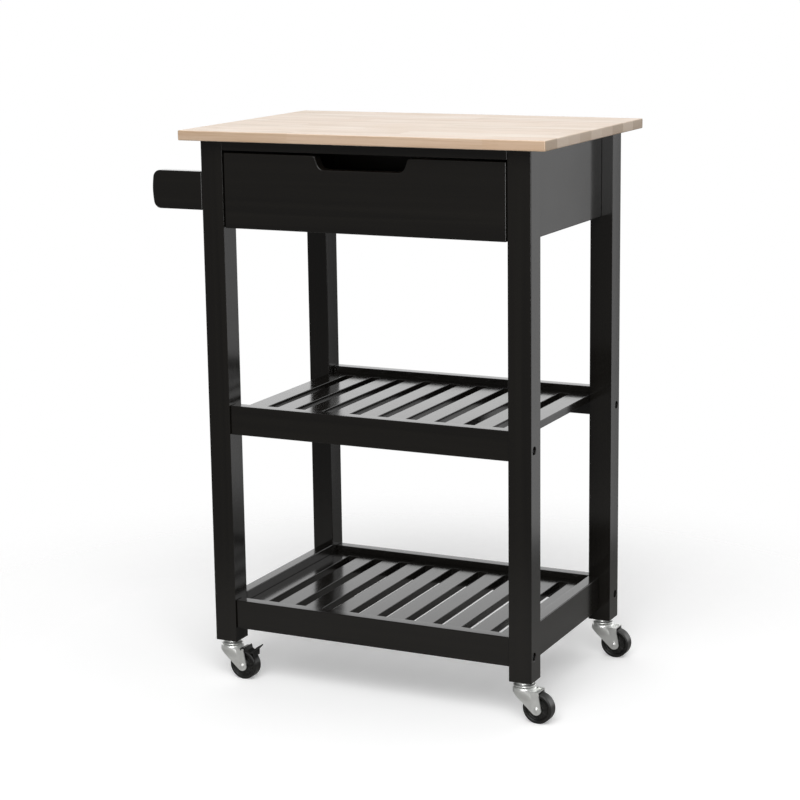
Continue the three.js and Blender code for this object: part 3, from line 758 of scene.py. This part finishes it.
def make_handle():
    """Two arms with full round-cornered ends, and the round bar that sits in them."""
    bar_low, bar_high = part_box("handle_bar")
    bar_x, bar_z = (bar_low.x + bar_high.x) / 2, (bar_low.z + bar_high.z) / 2
    bar_radius = (bar_high.z - bar_low.z) / 2
    socket = circle((bar_x, bar_z), bar_radius + BAR_PLAY, 60)
    for end in ("front", "rear"):
        node = f"handle_arm_{end}"
        low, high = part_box(node)
        arm = extruded(arm_outline(low, high), low.y, high.y, "y")
        made = mesh_object(f"fine_{node}", arm, "lacquer_x")
        inside = (bar_low.y - BAR_PLAY, high.y + 5 * MM)
        if end == "rear":
            inside = (low.y - 5 * MM, bar_high.y + BAR_PLAY)
        cut(made, extruded(socket, *inside, "y"))
        stands_for(eased(made, 1.6 * MM, 4), node)
    half = (bar_high.y - bar_low.y) / 2
    ease = BAR_EASE
    profile = [(0, -half), (bar_radius - ease, -half), (bar_radius, -half + ease)]
    profile += [(bar_radius, half - ease), (bar_radius - ease, half), (0, half)]
    bar = mesh_object("fine_handle_bar", turned(profile, "y", 72), "lacquer_y")
    bar.data.transform(Matrix.Translation((bar_x, 0, bar_z)))
    stands_for(bar, "handle_bar")


# ---- Casters ----------------------------------------------------------------------------------
# Drawn in millimetres with the king pin on the z axis and the wheel trailing towards +x.

TRAIL = 23.2
WHEEL_RADIUS = 23.0
WHEEL_CENTRE = (TRAIL, WHEEL_RADIUS)
AXLE_BORE = 2.8
KING_PIN_BORE = 5.6
# The fork: half its width over the cheeks, the collar's radius, the crown's height, how far forward
# the cheeks reach and where a braked one opens, the radius round the axle, and the skirt's rear end.
CHEEK = 12.5
SHEET = 1.8
COLLAR_RADIUS = 17.6
CROWN_TOP = 49.9
CROWN_REAR = -4.0
FORK_FRONT = 26.5
FORK_NOTCH = 19.3
AXLE_END = 8.5
REAR_CORNER = (-15.0, 45.4)
# The brake pedal.
PEDAL_PIVOT = (22.0, 49.0)
PEDAL_HALF_WIDTH = 9.4
TRUNNION_RADIUS = 1.2
TRUNNION_BORE = 1.5
TRUNNION_HALF = 12.2


def rounded(profile, radius, steps=4):
    """A profile with each inner corner replaced by a curve that starts about that far from it."""
    points = []
    for before, here, after in zip(profile, profile[1:], profile[2:]):
        a, b, c = Vector(before), Vector(here), Vector(after)
        reach = min(radius, (a - b).length * 0.45, (c - b).length * 0.45)
        start = b + (a - b).normalized() * reach
        end = b + (c - b).normalized() * reach
        for i in range(steps + 1):
            t = i / steps
            point = start * (1 - t) ** 2 + b * 2 * t * (1 - t) + end * t ** 2
            points.append((point.x, point.y))
    return [tuple(profile[0]), *points, tuple(profile[-1])]


def caster_mount():
    """Stem, neck and the pressed cup above the ball race, with the king pin's head below."""
    profile = [(0, 45.7), (5.8, 45.7), (7.2, 46.6), (7.2, 47.6), (5, 47.6), (5, 54.4), (13.6, 54.4)]
    profile += [(15.6, 54.7), (16.8, 55.5), (16.8, 56.7), (15.4, 57.4), (13.5, 58.0), (12.9, 59.2)]
    profile += [(12.9, 62.2), (4.5, 62.2), (4.5, 91.6), (3.6, 92.5), (0, 92.5)]
    return turned(rounded(profile, 0.6), "z", 72)


# The skirt is a grid of columns from the collar down to its lower edge. The last columns before the
# rear corner flare out, and the ones after it wrap round behind.
SKIRT_ROWS = 18
SKIRT_FLARE_COLUMNS = 10
SKIRT_FLARE = 0.9
SKIRT_WRAP_COLUMNS = 7
SKIRT_BLEND_DEPTH = 16.0


def skirt_edges():
    """The skirt's upper edge in x and y, and its lower edge in x and z up to the rear corner."""
    tangent = math.degrees(math.asin(CHEEK / COLLAR_RADIUS))
    collar_x = COLLAR_RADIUS * math.cos(math.radians(tangent))
    upper = [(FORK_FRONT - (FORK_FRONT - collar_x) * i / 8, -CHEEK) for i in range(8)]
    upper += arc((0, 0), COLLAR_RADIUS, -tangent, -180, 34)
    lower = arc(WHEEL_CENTRE, AXLE_END, -8, -133, 14)
    last, corner = Vector(lower[-1]), Vector(REAR_CORNER)
    steps = len(upper) - len(lower) - SKIRT_WRAP_COLUMNS
    lower += [tuple(last.lerp(corner, i / steps)) for i in range(1, steps + 1)]
    return upper, lower


def fork_skirt():
    """The pressed sheet that blends the round collar into two flat cheeks, cut back in a V."""
    upper, lower = skirt_edges()
    rear_x, rear_z = REAR_CORNER
    grid = []
    for index, (top_x, top_y) in enumerate(upper):
        if index < len(lower):
            low_x, low_z = lower[index]
            low_y = -CHEEK
            from_rear = index - len(lower) + SKIRT_FLARE_COLUMNS
            if from_rear > 0:
                low_y += (top_y + CHEEK) * (from_rear / SKIRT_FLARE_COLUMNS) ** 2 * SKIRT_FLARE
        else:
            flared_y = -(CHEEK + (abs(upper[len(lower) - 1][1]) - CHEEK) * SKIRT_FLARE)
            start = math.atan2(flared_y, rear_x)
            share = (index - len(lower) + 1) / SKIRT_WRAP_COLUMNS
            turn = start + (-math.pi - start) * share
            reach = math.hypot(rear_x, grid[len(lower) - 1][-1][1])
            reach += (COLLAR_RADIUS - 0.3 - reach) * share
            low_x, low_y, low_z = reach * math.cos(turn), reach * math.sin(turn), rear_z
        column = []
        for row in range(SKIRT_ROWS + 1):
            t = row / SKIRT_ROWS
            z = CROWN_TOP + (low_z - CROWN_TOP) * t
            drop = min(1.0, (CROWN_TOP - z) / SKIRT_BLEND_DEPTH)
            ease = drop * drop * (3 - 2 * drop)
            y = top_y + (low_y - top_y) * max(ease, t * t)
            column.append((top_x + (low_x - top_x) * t, y, z))
        grid.append(column)
    far = [[(x, -y, z) for x, y, z in column] for column in reversed(grid[:-1])]
    bm = bmesh.new()
    verts = [[bm.verts.new(point) for point in column] for column in grid + far]
    for a, b in zip(verts, verts[1:]):
        for row in range(SKIRT_ROWS):
            bm.faces.new((a[row], b[row], b[row + 1], a[row + 1]))
    return bm


def fork_crown(braked):
    """Flat top between the cheeks. Its front is a shallow pan, or open for the pedal if braked.
    Returns the plate and the solid to cut from it."""
    reach = CHEEK - 0.15
    outline = [(CROWN_REAR, -reach), (FORK_FRONT, -reach), (FORK_FRONT, reach), (CROWN_REAR, reach)]
    plate = extruded(outline, CROWN_TOP - 2.0, CROWN_TOP + 0.1, "z")
    if braked:
        inner, past = CHEEK - SHEET, 10
        notch_low = (FORK_NOTCH, -inner, CROWN_TOP - past)
        return plate, box_mesh(notch_low, (FORK_FRONT + past, inner, CROWN_TOP + past))
    rear, front, side, depth = 17.9, 25.0, 9.6, 1.65
    pan = [(rear, 0), (rear, -side), (front, -side), (front, side), (rear, side), (rear, 0)]
    return plate, extruded(rounded(pan, 1.6)[:-1], CROWN_TOP - depth, CROWN_TOP + 2, "z")


def make_fork(name, braked):
    """Fork: collar, skirt and crown in one pressing, bored for the king pin, axle and pedal."""
    edge, bore = COLLAR_RADIUS + 0.05, KING_PIN_BORE
    collar = [(bore, 53.0), (12.4, 53.0), (13.4, 53.7), (15.2, 53.6), (17.0, 52.4), (edge, 51.0)]
    collar += [(edge, 48.2), (15.6, 48.2), (15.2, 50.4), (bore, 50.4)]
    collar = rounded([*collar, collar[0]], 0.8)[1:-1]
    fork = mesh_object(name, turned(collar, "z", 72, closed=True), "zinc")
    skirt = mesh_object(f"{name}_skirt", fork_skirt(), "zinc")
    wall = skirt.modifiers.new("wall", "SOLIDIFY")
    wall.thickness = SHEET
    wall.offset = -1
    bake(skirt)
    plate, opening = fork_crown(braked)
    crown = cut(mesh_object(f"{name}_crown", plate, "zinc"), opening)
    through = (-20, 20, "y")
    bores = [extruded(circle(WHEEL_CENTRE, AXLE_BORE, 24), *through)]
    bores.append(extruded(circle((0, 0), bore, 48), 40, 60, "z"))
    if braked:
        bores.append(extruded(circle(PEDAL_PIVOT, TRUNNION_BORE, 12), *through))
    fuse(fork, skirt, crown)
    return eased(cut(fork, *bores), 0.4, 2)


def caster_wheel():
    """Hard wheel: crowned tread, rounded shoulders, a raised rim, a dished web and a hub."""
    half = [(AXLE_BORE, 9.0), (4.6, 9.0), (5.0, 8.6), (7.6, 8.6), (8.4, 6.4), (16.2, 5.6)]
    half += [(17.4, 7.2), (18.4, 8.9), (21.6, 8.9), (22.85, 8.1), (22.98, 5.0), (WHEEL_RADIUS, 0.0)]
    mirrored = [(r, -h) for r, h in reversed(half[:-1])]
    profile = rounded([*half, *mirrored, half[0]], 0.9, 3)
    return turned(profile[:-1], "y", 96, closed=True)


RIB_COUNT = 12


def wheel_ribs():
    """Thin radial ribs that stiffen the web, on both faces."""
    ribs = []
    for low_y, high_y in ((-6.9, -5.0), (5.0, 6.9)):
        for index in range(RIB_COUNT):
            rib = box_mesh((7.2, low_y, -0.55), (17.6, high_y, 0.55))
            turn = Matrix.Rotation(2 * math.pi * index / RIB_COUNT, 3, "Y")
            bmesh.ops.rotate(rib, verts=rib.verts, matrix=turn)
            ribs.append(rib)
    return ribs


def caster_axle():
    """Rivet with a pressed collar and a domed head at both ends."""
    face = CHEEK + 0.3
    slants = [math.radians(15 * i) for i in range(1, 6)]
    dome = [(2.9 * math.cos(a), face + 0.4 + 1.0 * math.sin(a)) for a in slants]
    half = [(2.5, face), (4.2, face), (4.2, face + 0.3), (3.8, face + 0.5), (2.9, face + 0.4), *dome]
    half.append((0, face + 1.4))
    mirrored = [(r, -h) for r, h in reversed(half)]
    return turned([*mirrored, *half], "y", 40)


def brake_pedal():
    """Brake lever: raised rear edge, dip over the tread, lip in front of it and a tongue for the
    toe."""
    outline = arc(PEDAL_PIVOT, 2.2, 90, 270, 12)
    outline += [(28, 46.9), (31.5, 45.9), (37.5, 42.8), (42.5, 44.2), (42.3, 38.8), (44, 38.8)]
    outline += [(44.2, 47.6), (51, 54.6), (49.8, 56), (42.4, 48.9), (40, 46.4), (36.8, 45)]
    outline += [(31.6, 47.8), (30.2, 54), (28.6, 53.8), (26.8, 51.9)]
    return extruded(outline, -PEDAL_HALF_WIDTH, PEDAL_HALF_WIDTH, "y")


def pedal_trunnion():
    radius, end, ease = TRUNNION_RADIUS, TRUNNION_HALF, 0.3
    profile = [(0, -end), (radius - ease, -end), (radius, ease - end)]
    profile += [(radius, end - ease), (radius - ease, end), (0, end)]
    return turned(profile, "y", 24)


def set_down(made, spot, node):
    """Moves a caster piece from its own millimetre frame to its place on the cart."""
    made.data.transform(spot)
    stands_for(made, node)


def joined(name, *objects):
    """Several objects' meshes as one object."""
    bm = bmesh.new()
    for made in objects:
        bm.from_mesh(made.data)
    mesh = bpy.data.meshes.new(name)
    bm.to_mesh(mesh)
    bm.free()
    mesh.materials.append(objects[0].data.materials[0])
    whole = bpy.data.objects.new(name, mesh)
    bpy.context.scene.collection.objects.link(whole)
    for made in objects:
        bpy.data.meshes.remove(made.data)
    return whole


def make_caster(corner):
    """One swivel caster, turned to the way its wheel trails."""
    pivot = Vector(JOINTS[f"caster_swivel_{corner}"]["pos_m"])
    axle_axis = JOINTS[f"wheel_spin_{corner}"]["axis"]
    angle = math.atan2(axle_axis[0], axle_axis[1])
    turn = Matrix.Rotation(-angle, 4, "Z") @ Matrix.Scale(MM, 4)
    spot = Matrix.Translation((pivot.x, pivot.y, 0)) @ turn
    braked = f"brake_pedal_{corner}" in BODY_OF
    axle_spot = spot @ Matrix.Translation((TRAIL, 0, WHEEL_RADIUS))

    mount = mesh_object(f"fine_caster_mount_{corner}", caster_mount(), "zinc")
    set_down(mount, spot, f"caster_mount_{corner}")
    fork = make_fork(f"fine_caster_fork_{corner}", braked)
    set_down(fork, spot, f"caster_fork_{corner}")
    wheel_body = mesh_object(f"{corner}_wheel_body", caster_wheel(), "wheel_black")
    ribs = eased(mesh_object(f"{corner}_ribs", merged(*wheel_ribs()), "wheel_black"), 0.25, 2)
    wheel = joined(f"fine_caster_wheel_{corner}", wheel_body, ribs)
    set_down(wheel, axle_spot, f"caster_wheel_{corner}")
    axle = mesh_object(f"fine_caster_axle_{corner}", caster_axle(), "zinc")
    set_down(axle, axle_spot, f"caster_axle_{corner}")
    if braked:
        lever = eased(mesh_object(f"{corner}_lever", brake_pedal(), "pedal_black"), 0.5, 3)
        trunnion = mesh_object(f"{corner}_trunnion", pedal_trunnion(), "pedal_black")
        trunnion.data.transform(Matrix.Translation((PEDAL_PIVOT[0], 0, PEDAL_PIVOT[1])))
        pedal = joined(f"fine_brake_pedal_{corner}", lever, trunnion)
        set_down(pedal, spot, f"brake_pedal_{corner}")


# ---- Studio -----------------------------------------------------------------------------------


def make_floor():
    bm = bmesh.new()
    bmesh.ops.create_circle(bm, cap_ends=True, radius=6.0, segments=96)
    mesh_object("floor", bm, "floor")


def make_world():
    """White surroundings: a bright band behind the cart above the horizon, dim everywhere else."""
    world = bpy.data.worlds.new("studio")
    bpy.context.scene.world = world
    world.use_nodes = True
    s = Nodes(world.node_tree)
    _, y, z = s.split(s.add("ShaderNodeTexCoord", {}, output="Generated"))
    behind = s.span(y, -0.15, 0.70, smooth=True)
    rise = s.span(z, -0.10, 0.06, smooth=True)
    fall = s.span(z, 0.18, 0.60, 1.0, 0.12, smooth=True)
    band = s.calc("MULTIPLY", s.calc("MULTIPLY", rise, fall), s.calc("MULTIPLY", behind, 1.38))
    overhead = s.span(z, 0.35, 0.90, 0.0, 0.25, smooth=True)
    glow = s.calc("ADD", s.calc("ADD", band, overhead), 0.16)
    seen = s.add("ShaderNodeLightPath", {}, output="Is Camera Ray")
    strength = s.calc("ADD", s.calc("MULTIPLY", glow, s.calc("SUBTRACT", 1.0, seen)), seen)
    background = s.add("ShaderNodeBackground", {"Color": (1.0, 1.0, 1.0), "Strength": strength})
    output = s.tree.nodes.new("ShaderNodeOutputWorld")
    s.tree.links.new(background, output.inputs["Surface"])


# Each light's place, target and size in metres, and its power in watts.
LIGHTS = {
    "key": ((0.9, -2.5, 3.0), (0, 0, 0.55), (3.0, 2.4), 98),
    "fill_front": ((1.0, -3.2, 0.7), (0, 0, 0.55), (1.6, 1.0), 31),
    "panel_right": ((1.55, 1.8, 0.45), (0.27, 0, 0.45), (1.3, 1.7), 5),
}


def make_light(name, place, target, size, power):
    """Soft rectangular light that points at a target."""
    data = bpy.data.lights.new(name, "AREA")
    data.shape = "RECTANGLE"
    data.size, data.size_y = size
    data.energy = power
    lamp = bpy.data.objects.new(name, data)
    bpy.context.scene.collection.objects.link(lamp)
    lamp.location = place
    lamp.rotation_euler = (Vector(target) - Vector(place)).to_track_quat("-Z", "Y").to_euler()
    lamp.visible_camera = False


# Angles in degrees, the distance from the cart's middle in metres, the lens in millimetres.
CAMERA_AZIMUTH = 25.9
CAMERA_ELEVATION = 12.0
CAMERA_ROLL = -0.79
CAMERA_DISTANCE = 3.353
CAMERA_LENS = 96.8


def make_camera():
    """Long lens that looks at the middle of the cart from its front right."""
    data = bpy.data.cameras.new("camera")
    data.lens = CAMERA_LENS
    camera = bpy.data.objects.new("camera", data)
    bpy.context.scene.collection.objects.link(camera)
    azimuth, elevation = math.radians(CAMERA_AZIMUTH), math.radians(CAMERA_ELEVATION)
    back = Vector((
        math.sin(azimuth) * math.cos(elevation),
        -math.cos(azimuth) * math.cos(elevation),
        math.sin(elevation),
    ))
    roll = Matrix.Rotation(math.radians(CAMERA_ROLL), 4, "Z")
    turn = back.to_track_quat("Z", "Y").to_matrix().to_4x4() @ roll
    middle = (CAD_LOW + CAD_HIGH) / 2
    camera.matrix_world = Matrix.Translation(middle + back * CAMERA_DISTANCE) @ turn
    bpy.context.scene.camera = camera


# ---- Assembly ---------------------------------------------------------------------------------

make_camera()
board("top", "butcher_block", 1.6 * MM)
for corner in CORNERS:
    make_leg(corner)
    for level in ("mid", "low"):
        make_bolt(level, corner)
make_boards()
make_panel("mid")
make_panel("low")
make_drawer_front()
make_drawer_box()
make_slides()
make_handle()
for corner in CORNERS:
    make_caster(corner)
make_floor()
make_world()
for name, setting in LIGHTS.items():
    make_light(name, *setting)
bpy.context.scene.view_settings.view_transform = "Standard"
